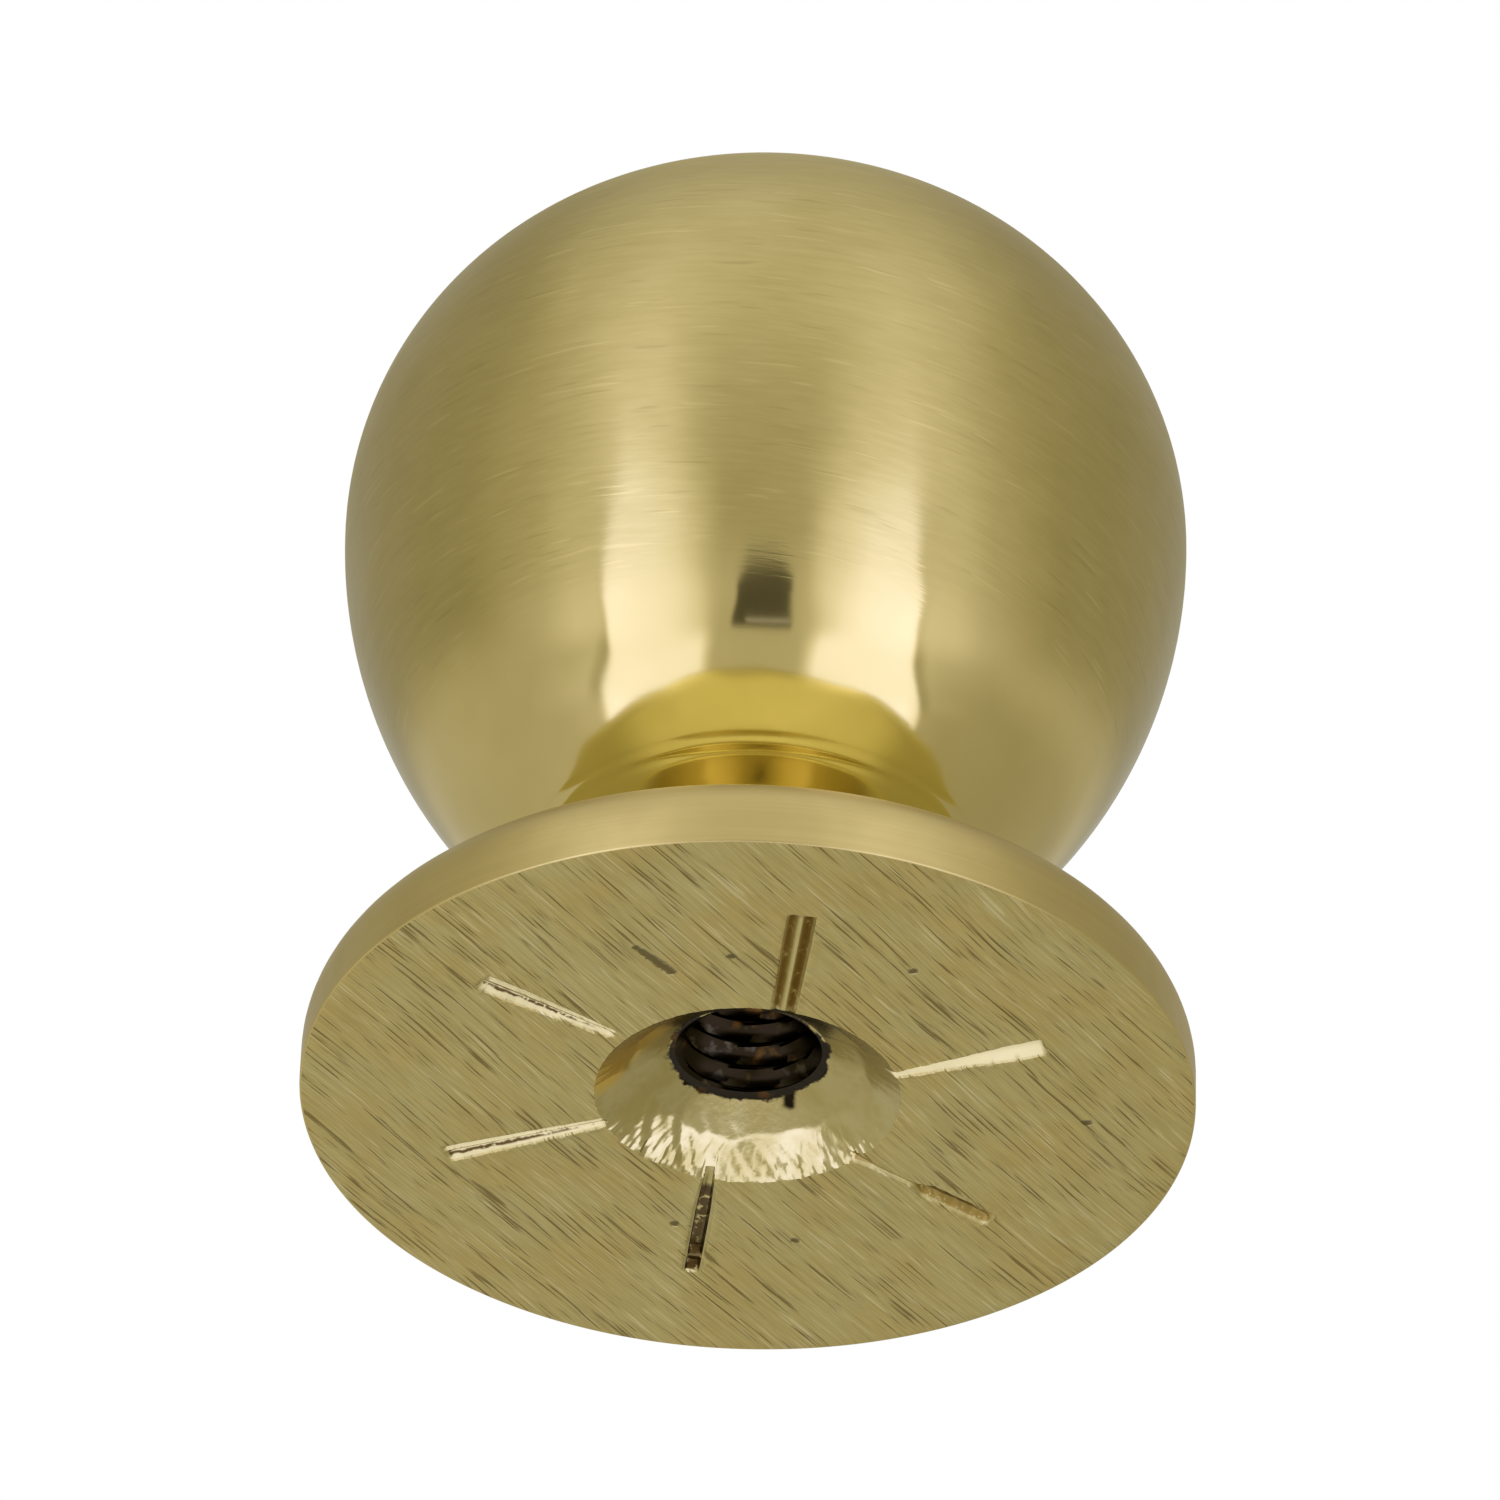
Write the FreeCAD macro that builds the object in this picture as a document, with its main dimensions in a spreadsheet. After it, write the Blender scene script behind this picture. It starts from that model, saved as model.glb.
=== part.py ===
import FreeCAD, Part
import math
import os

import Sketcher
from FreeCAD import Vector

# Cabinet knob: one piece of solid brass, turned on a lathe, drilled and tapped from the back.
# Frame: millimetres, +Z up, the knob stands on its back face. The origin is that face's centre.

# Driving sizes, in millimetres and degrees
SIZES = {
    # The flange has a short straight side, rounded over to its front, and a broken back edge
    "flange_radius": 11.1,
    "flange_side": 0.7,
    "front_round": 1.55,
    "back_bevel": 0.2,
    # The low collar between the flange and the neck
    "collar_radius": 6.2,
    "collar_height": 0.45,
    "collar_bevel": 0.2,
    # The neck, with a turned cove at its foot and a tight round under the ball
    "neck_radius": 3.4,
    "neck_length": 1.0,
    "neck_round": 0.8,
    "cove_radius": 1.2,
    # The ball is an oval, a little flat on top and a little long below its widest level
    "ball_radius": 10.8,
    "ball_rise": 9.6,
    "ball_drop": 12.3,
    # The blind hole for an M4 screw, at its tapping size, and the countersink at its mouth
    "bore_radius": 1.65,
    "bore_depth": 13.5,
    "drill_point_angle": 118.0,
    "mouth_radius": 3.8,
    "mouth_angle": 110.0,
    # The cut spokes that keep the knob from turning on the wood, each a little beside a true radius
    "spoke_count": 6,
    "spoke_reach": 8.0,
    "spoke_width": 0.7,
    "spoke_depth": 0.28,
    "spoke_offset": 0.38,
}

# Names for the sketcher's own numbers: an edge's points, the two axes and where they cross
START, END, CENTRE = range(1, 4)
LEVEL_AXIS, KNOB_AXIS = range(-1, -3, -1)
ORIGIN = (LEVEL_AXIS, START)

doc = FreeCAD.newDocument("cabinet_knob")


def make_sheet():
    sheet = doc.addObject("Spreadsheet::Sheet", "Sizes")
    for row, (name, value) in enumerate(SIZES.items(), start=1):
        sheet.set("A%d" % row, name)
        sheet.set("B%d" % row, str(value))
        sheet.setAlias("B%d" % row, name)
    doc.recompute()


def origin_feature(body, role):
    for feature in body.Origin.OriginFeatures:
        if feature.Role == role:
            return feature
    raise ValueError("the body has no " + role)


def new_sketch(body, name, plane):
    sketch = body.newObject("Sketcher::SketchObject", name)
    sketch.AttachmentSupport = [(origin_feature(body, plane), "")]
    sketch.MapMode = "FlatFace"
    return sketch


# A sketch's first axis is the distance from the knob's axis, and its second is the level
def line(sketch, start, end):
    return sketch.addGeometry(Part.LineSegment(Vector(*start, 0), Vector(*end, 0)))


def arc(sketch, centre, radius, first_angle, last_angle):
    circle = Part.Circle(Vector(*centre, 0), Vector(0, 0, 1), radius)
    limits = (math.radians(first_angle), math.radians(last_angle))
    return sketch.addGeometry(Part.ArcOfCircle(circle, *limits))


def rule(sketch, kind, *where):
    sketch.addConstraint(Sketcher.Constraint(kind, *where))


def dimension(sketch, kind, where, guess, expression):
    index = sketch.addConstraint(Sketcher.Constraint(kind, *where, guess))
    sketch.setExpression("Constraints[%d]" % index, expression)


def hold_radius(sketch, point, guess, expression):
    dimension(sketch, "DistanceX", (*ORIGIN, *point), guess, expression)


def hold_level(sketch, point, guess, expression):
    dimension(sketch, "DistanceY", (*ORIGIN, *point), guess, expression)


def hold_rise(sketch, lower, upper, guess, expression):
    dimension(sketch, "DistanceY", (*lower, *upper), guess, expression)


# Each half of the ball's oval is two arcs that meet in a tangent: one at the pole, one at the side
def pole_radius(rise):
    return SIZES["ball_radius"] ** 2 / rise


def side_radius(rise):
    return rise * (SIZES["ball_radius"] + rise) / (2 * SIZES["ball_radius"])


def join_angle(rise):
    wide = SIZES["ball_radius"]
    return math.degrees(math.atan2(2 * wide * (wide + rise), rise * (2 * wide + rise)))


# The outline that the lathe tool follows, from the back face up to the top of the ball.
# The sketch is drawn near its true place from these levels, and its dimensions then hold it.
def draw_outline(body):
    sketch = new_sketch(body, "turned_outline", "XZ_Plane")
    s = SIZES
    side_top = s["back_bevel"] + s["flange_side"]
    front_level = side_top + s["front_round"]
    collar_level = front_level + s["collar_height"]
    neck_foot = collar_level + s["cove_radius"]
    neck_top = neck_foot + s["neck_length"]
    crown_radius = pole_radius(s["ball_rise"])
    under_radius = pole_radius(s["ball_drop"])
    bend_reach = under_radius + s["neck_round"]
    bend_angle = math.degrees(math.acos((s["neck_radius"] + s["neck_round"]) / bend_reach))
    under_centre = neck_top + bend_reach * math.sin(math.radians(bend_angle))
    ball_level = under_centre - under_radius + s["ball_drop"]
    top = ball_level + s["ball_rise"]
    upper_join = join_angle(s["ball_rise"])
    lower_join = join_angle(s["ball_drop"])

    back = line(sketch, (0, 0), (s["flange_radius"] - s["back_bevel"], 0))
    back_edge = line(
        sketch, (s["flange_radius"] - s["back_bevel"], 0), (s["flange_radius"], s["back_bevel"]))
    side = line(sketch, (s["flange_radius"], s["back_bevel"]), (s["flange_radius"], side_top))
    front_bend = arc(
        sketch, (s["flange_radius"] - s["front_round"], side_top), s["front_round"], 0, 90)
    front = line(
        sketch, (s["flange_radius"] - s["front_round"], front_level), (s["collar_radius"], front_level))
    collar_side = line(
        sketch, (s["collar_radius"], front_level), (s["collar_radius"], collar_level - s["collar_bevel"]))
    collar_edge = line(
        sketch, (s["collar_radius"], collar_level - s["collar_bevel"]),
        (s["collar_radius"] - s["collar_bevel"], collar_level))
    collar_face = line(
        sketch, (s["collar_radius"] - s["collar_bevel"], collar_level),
        (s["neck_radius"] + s["cove_radius"], collar_level))
    cove = arc(sketch, (s["neck_radius"] + s["cove_radius"], neck_foot), s["cove_radius"], 180, 270)
    neck = line(sketch, (s["neck_radius"], neck_foot), (s["neck_radius"], neck_top))
    neck_bend = arc(
        sketch, (s["neck_radius"] + s["neck_round"], neck_top), s["neck_round"], 180 - bend_angle, 180)
    under = arc(sketch, (0, under_centre), under_radius, -bend_angle, -lower_join)
    belly = arc(
        sketch, (s["ball_radius"] - side_radius(s["ball_drop"]), ball_level),
        side_radius(s["ball_drop"]), -lower_join, 0)
    shoulder = arc(
        sketch, (s["ball_radius"] - side_radius(s["ball_rise"]), ball_level),
        side_radius(s["ball_rise"]), 0, upper_join)
    crown = arc(sketch, (0, top - crown_radius), crown_radius, upper_join, 90)
    axis = line(sketch, (0, top), (0, 0))

    # The joins, in order round the outline
    rule(sketch, "Coincident", back, START, *ORIGIN)
    rule(sketch, "Coincident", back, END, back_edge, START)
    rule(sketch, "Coincident", back_edge, END, side, START)
    rule(sketch, "Tangent", side, END, front_bend, START)
    rule(sketch, "Tangent", front_bend, END, front, START)
    rule(sketch, "Coincident", front, END, collar_side, START)
    rule(sketch, "Coincident", collar_side, END, collar_edge, START)
    rule(sketch, "Coincident", collar_edge, END, collar_face, START)
    rule(sketch, "Tangent", collar_face, END, cove, END)
    rule(sketch, "Tangent", cove, START, neck, START)
    rule(sketch, "Tangent", neck, END, neck_bend, END)
    rule(sketch, "Tangent", neck_bend, START, under, START)
    rule(sketch, "Tangent", under, END, belly, START)
    rule(sketch, "Coincident", belly, END, shoulder, START)
    rule(sketch, "Tangent", shoulder, END, crown, START)
    rule(sketch, "Coincident", crown, END, axis, START)
    rule(sketch, "Coincident", axis, END, *ORIGIN)
    for level_line in (back, front, collar_face):
        rule(sketch, "Horizontal", level_line)
    for upright in (side, collar_side, neck, axis):
        rule(sketch, "Vertical", upright)

    # The flange
    hold_radius(
        sketch, (back, END), s["flange_radius"] - s["back_bevel"],
        "Sizes.flange_radius - Sizes.back_bevel")
    hold_radius(sketch, (side, START), s["flange_radius"], "Sizes.flange_radius")
    hold_level(sketch, (side, START), s["back_bevel"], "Sizes.back_bevel")
    hold_rise(sketch, (side, START), (side, END), s["flange_side"], "Sizes.flange_side")
    dimension(sketch, "Radius", (front_bend,), s["front_round"], "Sizes.front_round")

    # The collar and the neck
    hold_radius(sketch, (collar_side, END), s["collar_radius"], "Sizes.collar_radius")
    hold_radius(
        sketch, (collar_face, START), s["collar_radius"] - s["collar_bevel"],
        "Sizes.collar_radius - Sizes.collar_bevel")
    hold_rise(sketch, (collar_edge, START), (collar_edge, END), s["collar_bevel"], "Sizes.collar_bevel")
    hold_rise(sketch, (collar_side, START), (collar_edge, END), s["collar_height"], "Sizes.collar_height")
    dimension(sketch, "Radius", (cove,), s["cove_radius"], "Sizes.cove_radius")
    hold_radius(sketch, (neck, START), s["neck_radius"], "Sizes.neck_radius")
    hold_rise(sketch, (neck, START), (neck, END), s["neck_length"], "Sizes.neck_length")
    dimension(sketch, "Radius", (neck_bend,), s["neck_round"], "Sizes.neck_round")

    # The ball, which stands on the neck
    rule(sketch, "PointOnObject", under, CENTRE, KNOB_AXIS)
    rule(sketch, "PointOnObject", crown, CENTRE, KNOB_AXIS)
    rule(sketch, "Horizontal", belly, END, belly, CENTRE)
    rule(sketch, "Horizontal", shoulder, START, shoulder, CENTRE)
    hold_radius(sketch, (shoulder, START), s["ball_radius"], "Sizes.ball_radius")
    dimension(sketch, "Radius", (under,), under_radius, "Sizes.ball_radius^2 / Sizes.ball_drop")
    dimension(sketch, "Radius", (crown,), crown_radius, "Sizes.ball_radius^2 / Sizes.ball_rise")
    hold_rise(sketch, (shoulder, START), (crown, END), s["ball_rise"], "Sizes.ball_rise")
    hold_rise(
        sketch, (under, CENTRE), (crown, END), top - under_centre,
        "Sizes.ball_rise + Sizes.ball_drop - Sizes.ball_radius^2 / Sizes.ball_drop")
    return sketch


def turn_blank(body):
    outline = draw_outline(body)
    blank = body.newObject("PartDesign::Revolution", "turned_blank")
    blank.Profile = outline
    blank.ReferenceAxis = (outline, ["V_Axis"])
    blank.Angle = 360
    outline.Visibility = False
    return blank


# Half the section of the hole: the countersink, the wall and the cone that the drill leaves
def draw_hole(body):
    sketch = new_sketch(body, "hole_section", "XZ_Plane")
    s = SIZES
    mouth_slope = math.tan(math.radians(s["mouth_angle"] / 2))
    point_slope = math.tan(math.radians(s["drill_point_angle"] / 2))
    wall_start = (s["mouth_radius"] - s["bore_radius"]) / mouth_slope
    tip = s["bore_depth"] + s["bore_radius"] / point_slope

    opening = line(sketch, (0, 0), (s["mouth_radius"], 0))
    countersink = line(sketch, (s["mouth_radius"], 0), (s["bore_radius"], wall_start))
    wall = line(sketch, (s["bore_radius"], wall_start), (s["bore_radius"], s["bore_depth"]))
    drill_point = line(sketch, (s["bore_radius"], s["bore_depth"]), (0, tip))
    axis = line(sketch, (0, tip), (0, 0))

    chain = [opening, countersink, wall, drill_point, axis]
    for here, following in zip(chain, chain[1:] + chain[:1]):
        rule(sketch, "Coincident", here, END, following, START)
    rule(sketch, "Coincident", opening, START, *ORIGIN)
    rule(sketch, "Horizontal", opening)
    rule(sketch, "Vertical", wall)
    rule(sketch, "Vertical", axis)
    hold_radius(sketch, (opening, END), s["mouth_radius"], "Sizes.mouth_radius")
    hold_radius(sketch, (wall, START), s["bore_radius"], "Sizes.bore_radius")
    hold_level(
        sketch, (wall, START), wall_start,
        "(Sizes.mouth_radius - Sizes.bore_radius) / tan(Sizes.mouth_angle * 0.5 * 1 deg)")
    hold_level(sketch, (wall, END), s["bore_depth"], "Sizes.bore_depth")
    hold_level(
        sketch, (drill_point, END), tip,
        "Sizes.bore_depth + Sizes.bore_radius / tan(Sizes.drill_point_angle * 0.5 * 1 deg)")
    return sketch


def drill_hole(body):
    section = draw_hole(body)
    hole = body.newObject("PartDesign::Groove", "countersunk_hole")
    hole.Profile = section
    hole.ReferenceAxis = (section, ["V_Axis"])
    hole.Angle = 360
    section.Visibility = False
    return hole


# One spoke is a V cut, open to the back face, that runs outward along +X from the knob's axis
def draw_spoke(body):
    sketch = new_sketch(body, "spoke_section", "YZ_Plane")
    s = SIZES
    near = s["spoke_offset"] - s["spoke_width"] / 2
    far = s["spoke_offset"] + s["spoke_width"] / 2

    opening = line(sketch, (near, 0), (far, 0))
    far_flank = line(sketch, (far, 0), (s["spoke_offset"], s["spoke_depth"]))
    near_flank = line(sketch, (s["spoke_offset"], s["spoke_depth"]), (near, 0))
    rule(sketch, "Coincident", opening, END, far_flank, START)
    rule(sketch, "Coincident", far_flank, END, near_flank, START)
    rule(sketch, "Coincident", near_flank, END, opening, START)
    rule(sketch, "PointOnObject", opening, START, LEVEL_AXIS)
    rule(sketch, "Horizontal", opening)
    rule(sketch, "Equal", far_flank, near_flank)
    dimension(sketch, "Distance", (opening,), s["spoke_width"], "Sizes.spoke_width")
    hold_radius(sketch, (far_flank, END), s["spoke_offset"], "Sizes.spoke_offset")
    hold_level(sketch, (far_flank, END), s["spoke_depth"], "Sizes.spoke_depth")
    return sketch


def cut_spokes(body):
    section = draw_spoke(body)
    spoke = body.newObject("PartDesign::Pocket", "spoke")
    spoke.Profile = section
    spoke.Reversed = True
    spoke.Length = SIZES["spoke_reach"]
    spoke.setExpression("Length", "Sizes.spoke_reach")
    section.Visibility = False
    doc.recompute()
    ring = body.newObject("PartDesign::PolarPattern", "ring_of_spokes")
    ring.Originals = [spoke]
    ring.Axis = (origin_feature(body, "Z_Axis"), [""])
    ring.Angle = 360
    ring.Occurrences = SIZES["spoke_count"]
    ring.setExpression("Occurrences", "Sizes.spoke_count")
    body.Tip = ring
    return spoke, ring


def check_cut(before, after, least):
    removed = before.Shape.Volume - after.Shape.Volume
    print("%s removes %.3f mm3" % (after.Name, removed))
    if removed < least:
        raise RuntimeError(after.Name + " cuts less than it should")


def make_knob():
    body = doc.addObject("PartDesign::Body", "knob")
    body.Label = "knob"
    body.Placement = FreeCAD.Placement()
    blank = turn_blank(body)
    doc.recompute()
    hole = drill_hole(body)
    doc.recompute()
    spoke, ring = cut_spokes(body)
    doc.recompute()
    wall_volume = math.pi * SIZES["bore_radius"] ** 2 * SIZES["bore_depth"]
    spoke_length = SIZES["spoke_reach"] - SIZES["mouth_radius"]
    spoke_volume = SIZES["spoke_width"] * SIZES["spoke_depth"] / 2 * spoke_length
    check_cut(blank, hole, wall_volume)
    check_cut(hole, spoke, 0.9 * spoke_volume)
    check_cut(hole, ring, 0.9 * spoke_volume * SIZES["spoke_count"])
    return body


def check_document():
    for item in doc.Objects:
        if "Invalid" in item.State or "Error" in item.State:
            raise RuntimeError(item.Name + " failed: " + str(item.State))
    for item in doc.Objects:
        if item.TypeId == "Sketcher::SketchObject" and not item.FullyConstrained:
            raise RuntimeError(item.Name + " has a size that nothing holds")


def write_piece(body):
    shape = body.Shape
    if shape.isNull() or not shape.isValid() or len(shape.Solids) != 1:
        raise RuntimeError(body.Label + " has no sound solid")
    box = shape.optimalBoundingBox(False)
    print("%s: %.2f x %.2f x %.2f mm, %.1f mm3, %d faces" % (
        body.Label, box.XLength, box.YLength, box.ZLength, shape.Volume, len(shape.Faces)))
    shape.exportStep("parts/" + body.Label + ".step")


make_sheet()
knob = make_knob()
check_document()
os.makedirs("parts", exist_ok=True)
write_piece(knob)
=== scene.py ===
import math

import bpy
import numpy as np
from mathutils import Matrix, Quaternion, Vector


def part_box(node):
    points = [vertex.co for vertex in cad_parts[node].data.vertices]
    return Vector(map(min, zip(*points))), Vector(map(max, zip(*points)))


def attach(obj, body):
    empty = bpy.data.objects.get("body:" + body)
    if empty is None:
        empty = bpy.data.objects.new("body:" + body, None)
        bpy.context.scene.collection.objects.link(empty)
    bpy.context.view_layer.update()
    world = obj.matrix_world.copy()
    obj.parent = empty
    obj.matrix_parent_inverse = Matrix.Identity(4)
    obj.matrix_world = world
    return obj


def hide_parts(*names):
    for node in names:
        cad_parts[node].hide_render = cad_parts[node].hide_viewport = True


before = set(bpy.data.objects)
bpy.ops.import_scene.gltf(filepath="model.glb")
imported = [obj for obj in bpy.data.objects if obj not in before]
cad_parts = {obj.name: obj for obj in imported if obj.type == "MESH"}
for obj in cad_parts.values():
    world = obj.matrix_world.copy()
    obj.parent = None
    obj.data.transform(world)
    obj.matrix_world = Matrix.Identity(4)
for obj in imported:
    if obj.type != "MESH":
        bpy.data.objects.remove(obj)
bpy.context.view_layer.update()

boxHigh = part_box("knob")[1]
perMetre = 1000.0        # the shape below is worked out in millimetres
mm = 1 / perMetre

# Camera. Its angles are seen from the knob: azimuth 0 is the -Y side, and below the back face is negative.
photoView = {
    "frameSize": 1500,
    "focalPixels": 11099.3,
    "sensorWidth": 36.0,
    "clipping": (0.01, 20.0),
    "distance": 275.0,
    "azimuth": 24.2,
    "elevation": -34.512,
    "roll": 1.939,
    "aimSide": -0.229,
    "aimHeight": 10.873,
}


def levelDirection(azimuth):
    turn = math.radians(azimuth)
    return Vector((math.cos(turn), math.sin(turn), 0))


def viewDirection(azimuth, elevation):
    turn, rise = math.radians(azimuth), math.radians(elevation)
    return Vector((math.sin(turn) * math.cos(rise), -math.cos(turn) * math.cos(rise), math.sin(rise)))


toCamera = viewDirection(photoView["azimuth"], photoView["elevation"])
sideways = levelDirection(photoView["azimuth"])
upInPicture = toCamera.cross(sideways)


def addCamera():
    v = photoView
    data = bpy.data.cameras.new("photoCamera")
    data.sensor_width = v["sensorWidth"]
    data.lens = v["focalPixels"] / v["frameSize"] * v["sensorWidth"]
    data.clip_start, data.clip_end = v["clipping"]
    camera = bpy.data.objects.new("photoCamera", data)
    bpy.context.scene.collection.objects.link(camera)
    aim = sideways * v["aimSide"] + Vector((0, 0, v["aimHeight"]))
    stand = toCamera * v["distance"]
    camera.location = stand * mm
    camera.rotation_mode = "QUATERNION"
    tilt = Quaternion((0, 0, 1), math.radians(v["roll"]))
    camera.rotation_quaternion = (aim - stand).to_track_quat("-Z", "Y") @ tilt
    bpy.context.scene.camera = camera


addCamera()
print("camera ready")

# The turned outline in millimetres and degrees. The ball's underside is flatter by underTilt between the latitudes
# of underSpan. A tool mark is its latitude, width and height. The satin side ends at satinTo on the front round.
outline = {
    "flangeRadius": boxHigh.x * perMetre,
    "sideHeight": 0.85,
    "frontRound": 1.55,
    "backRound": 0.05,
    "collarRadius": 6.2,
    "collarHeight": 0.45,
    "collarBevel": 0.2,
    "neckRadius": 3.4,
    "neckLength": 1.0,
    "neckRound": 0.8,
    "coveRadius": 1.2,
    "ballRadius": 10.8,
    "ballRise": 9.6,
    "ballDrop": 12.3,
    "underTilt": 3.8,
    "underSpan": (-43, -51, -66, -70),
    "toolMarks": [(-60.75, 0.30, -0.009), (-61.6, 0.35, 0.006), (-62.55, 0.32, -0.012)],
    "satinTo": 48,
}

# The tapped hole with its countersink, which stands a little off centre, towards the camera
hole = {
    "majorRadius": 2.0,
    "minorRadius": 1.65,
    "pitch": 0.7,
    "threadFlat": 0.125,
    "threadEnd": 11.0,
    "threadRunout": 1.0,
    "depth": 13.5,
    "tipRadius": 0.15,
    "pointSlope": math.tan(math.radians(59)),
    "mouthRadius": 3.8,
    "mouthSlope": math.tan(math.radians(55)),
    "offCentre": 0.33,
    "offCentreAzimuth": -65.8,
    "straightFrom": 6.0,
    "straightDepths": (2.5, 9.0),
    "innerCone": 0.125,
    "bendShare": 0.5,
    "bendWaver": 0.07,
    "edgeWaver": 0.045,
}

# Cut marks that a chattering tool left in the outer half of the countersink, from this azimuth on
chatter = {
    "from": 60,
    "rise": (0, 5),
    "fade": (95, 135),
    "least": 0.03,
    "depth": 0.026,
    "share": (0.5, 0.66),
    "foldDepth": 0.05,
    "foldRise": (50, 90),
    "foldFade": (110, 150),
    "foldShare": (0.2, 0.6),
}

# The six cuts in the back face. Each runs outward along its azimuth, offset to the left of a true radius.
# section: place across the cut and depth there; widths and depths: place along the cut and share of the section;
# stains: start and end along the cut, its colour (a stain, and in some cuts a darker colour along the deepest
# crease), its place across the cut and its half width.
spokes = [
    {"azimuth": 2.1, "offset": 0.01, "start": 3.6, "end": 7.83, "rough": 0.25,
     "section": [(-0.27, 0), (-0.15, 0.36), (0.0, 0.3), (0.36, 0)],
     "widths": [(3.6, 0.35), (5.2, 0.62), (7.0, 1.1)],
     "depths": [(3.6, 0.45), (5.5, 0.7), (7.0, 1.0)],
     "stains": [(5.0, 7.8, "creaseDark", -0.15, 0.11)]},
    {"azimuth": 61.1, "offset": 0.12, "start": 3.0, "end": 7.9, "rough": 1.0,
     "section": [(-0.24, 0), (-0.08, 0.2), (0.08, 0.24), (0.24, 0)],
     "widths": [(3.3, 0.8), (4.2, 0.45), (5.4, 0.4), (5.8, 1.2)],
     "depths": [(3.3, 0.8), (4.2, 0.3), (5.4, 0.25), (5.75, 1.0), (7.6, 1.0)],
     "stains": [(5.7, 7.3, "creaseDark", -0.05, 0.22), (3.6, 7.9, "cutDirt", 0.2, 0.28)]},
    {"azimuth": 119.3, "offset": 0.59, "start": 2.9, "end": 7.65, "rough": 0.5,
     "section": [(-0.27, 0), (-0.19, 0.05), (-0.13, 0.28), (0.13, 0.28), (0.19, 0.05), (0.27, 0)],
     "widths": [(3.6, 0.7), (5.0, 1.0)],
     "depths": [(3.6, 0.8), (6.85, 1.0), (6.92, 0.25), (7.06, 0.25), (7.13, 1.0)],
     "stains": [(4.2, 6.8, "creaseDark", 0.0, 0.38), (7.2, 7.6, "creaseDark", 0.0, 0.48)]},
    {"azimuth": 181.4, "offset": 0.44, "start": 3.6, "end": 7.95, "rough": 0.7,
     "section": [(-0.34, 0), (-0.11, 0.17), (0.11, 0.03), (0.2, 0.09), (0.34, 0)],
     "widths": [(3.8, 0.6), (7.5, 1.0)],
     "depths": [(3.8, 0.6), (7.0, 1.0)],
     "stains": [(4.0, 7.9, "creaseDark", -0.16, 0.07)]},
    {"azimuth": 236.9, "offset": 0.56, "start": 4.3, "end": 8.2, "rough": 0.6,
     "section": [(-0.35, 0), (-0.12, 0.17), (0.1, 0.03), (0.19, 0.09), (0.33, 0)],
     "widths": [(4.3, 0.5), (7.0, 1.0)],
     "depths": [(4.3, 0.6), (7.0, 1.0)],
     "stains": [(4.8, 8.0, "creaseDark", -0.14, 0.06)]},
    {"azimuth": 299.4, "offset": 0.44, "start": 3.5, "end": 8.15, "rough": 0.5,
     "section": [(-0.36, 0), (-0.21, 0.18), (-0.04, 0.04), (0.04, 0.04), (0.2, 0.2), (0.36, 0)],
     "widths": [(4.0, 0.85), (7.0, 1.0)],
     "depths": [(4.0, 0.9), (7.0, 1.0)],
     "stains": [(4.0, 8.1, "cutDirt", -0.2, 0.28), (4.0, 8.1, "cutDirt", 0.2, 0.28)]},
]

# What all six cuts share: the slopes at their ends, their ragged depth and the burr along both edges
cutForm = {
    "startSlope": (-0.2, 0.15),
    "endSlope": (-0.14, 0.02),
    "raggedness": 0.07,
    "leastDepth": 0.004,
    "burrOffset": 0.05,
    "burrWidth": 0.055,
    "burrHeight": 0.028,
}

# How finely the mesh follows all this. The columns run out along the cuts between the radii of mouthComb and
# backComb; the bore and the ball have a third and half of the columns.
grid = {
    "columns": 378,
    "spokeMargin": 0.2,
    "leastRadius": 2.0,
    "cutStep": 0.065,
    "cutEnd": 8.45,
    "threadStep": 0.075,
    "mouthComb": (2.4, 3.4),
    "backComb": (9.0, 10.8),
    "markLatitudes": (-64, -58.5),
    "lastLatitude": 89.2,
    "boreMerge": 3,
    "ballMerge": 2,
    "sharpAngle": 24,
}


def smoothStep(low, high, value):
    t = np.clip((value - low) / (high - low), 0, 1)
    return t * t * (3 - 2 * t)


def waver(value, seed):
    return sum(np.sin(value * pace + seed * phase) for pace, phase in ((1.7, 2.1), (3.9, 5.3), (8.3, 7.7))) / 3


def alongShare(pairs, along):
    return np.interp(along, [p[0] for p in pairs], [p[1] for p in pairs])


def arcPoints(centre, radius, first, last, count):
    turn = np.radians(np.linspace(first, last, count))
    return np.column_stack((centre[0] + radius * np.cos(turn), centre[1] + radius * np.sin(turn)))


def linePoints(start, end, count):
    share = np.linspace(0, 1, count)[:, None]
    return np.array(start) * (1 - share) + np.array(end) * share


# Half of the oval ball is two tangent arcs: the radii at its pole and its side, and the latitude where they meet
def ballHalf(rise):
    wide = outline["ballRadius"]
    pole = wide ** 2 / rise
    side = rise * (wide + rise) / (2 * wide)
    join = math.degrees(math.atan2(2 * wide * (wide + rise), rise * (2 * wide + rise)))
    return pole, side, join


# The ball's polished underside is a touch flatter than its two arcs: some tenths of a millimetre, which its
# reflections show. It also carries fine rings that the turning tool left.
def flattenUnderside(points, ballLevel):
    span, slope = outline["underSpan"], math.radians(outline["underTilt"])
    latitude = np.degrees(np.arctan2(points[:, 1] - ballLevel, points[:, 0]))
    share = smoothStep(span[0], span[1], latitude) * (1 - smoothStep(span[2], span[3], latitude))
    steps = np.hypot(*np.diff(points, axis=0).T) * share[1:] * slope
    sunk = np.append(np.cumsum(steps[::-1])[::-1], 0)
    for middle, width, height in outline["toolMarks"]:
        sunk = sunk - height * np.exp(-((latitude - middle) / width) ** 2)
    outward = points - np.array([0, ballLevel])
    outward = outward / np.linalg.norm(outward, axis=1)[:, None]
    moved = points - outward * sunk[:, None]
    return moved, moved[0] - points[0]


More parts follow.
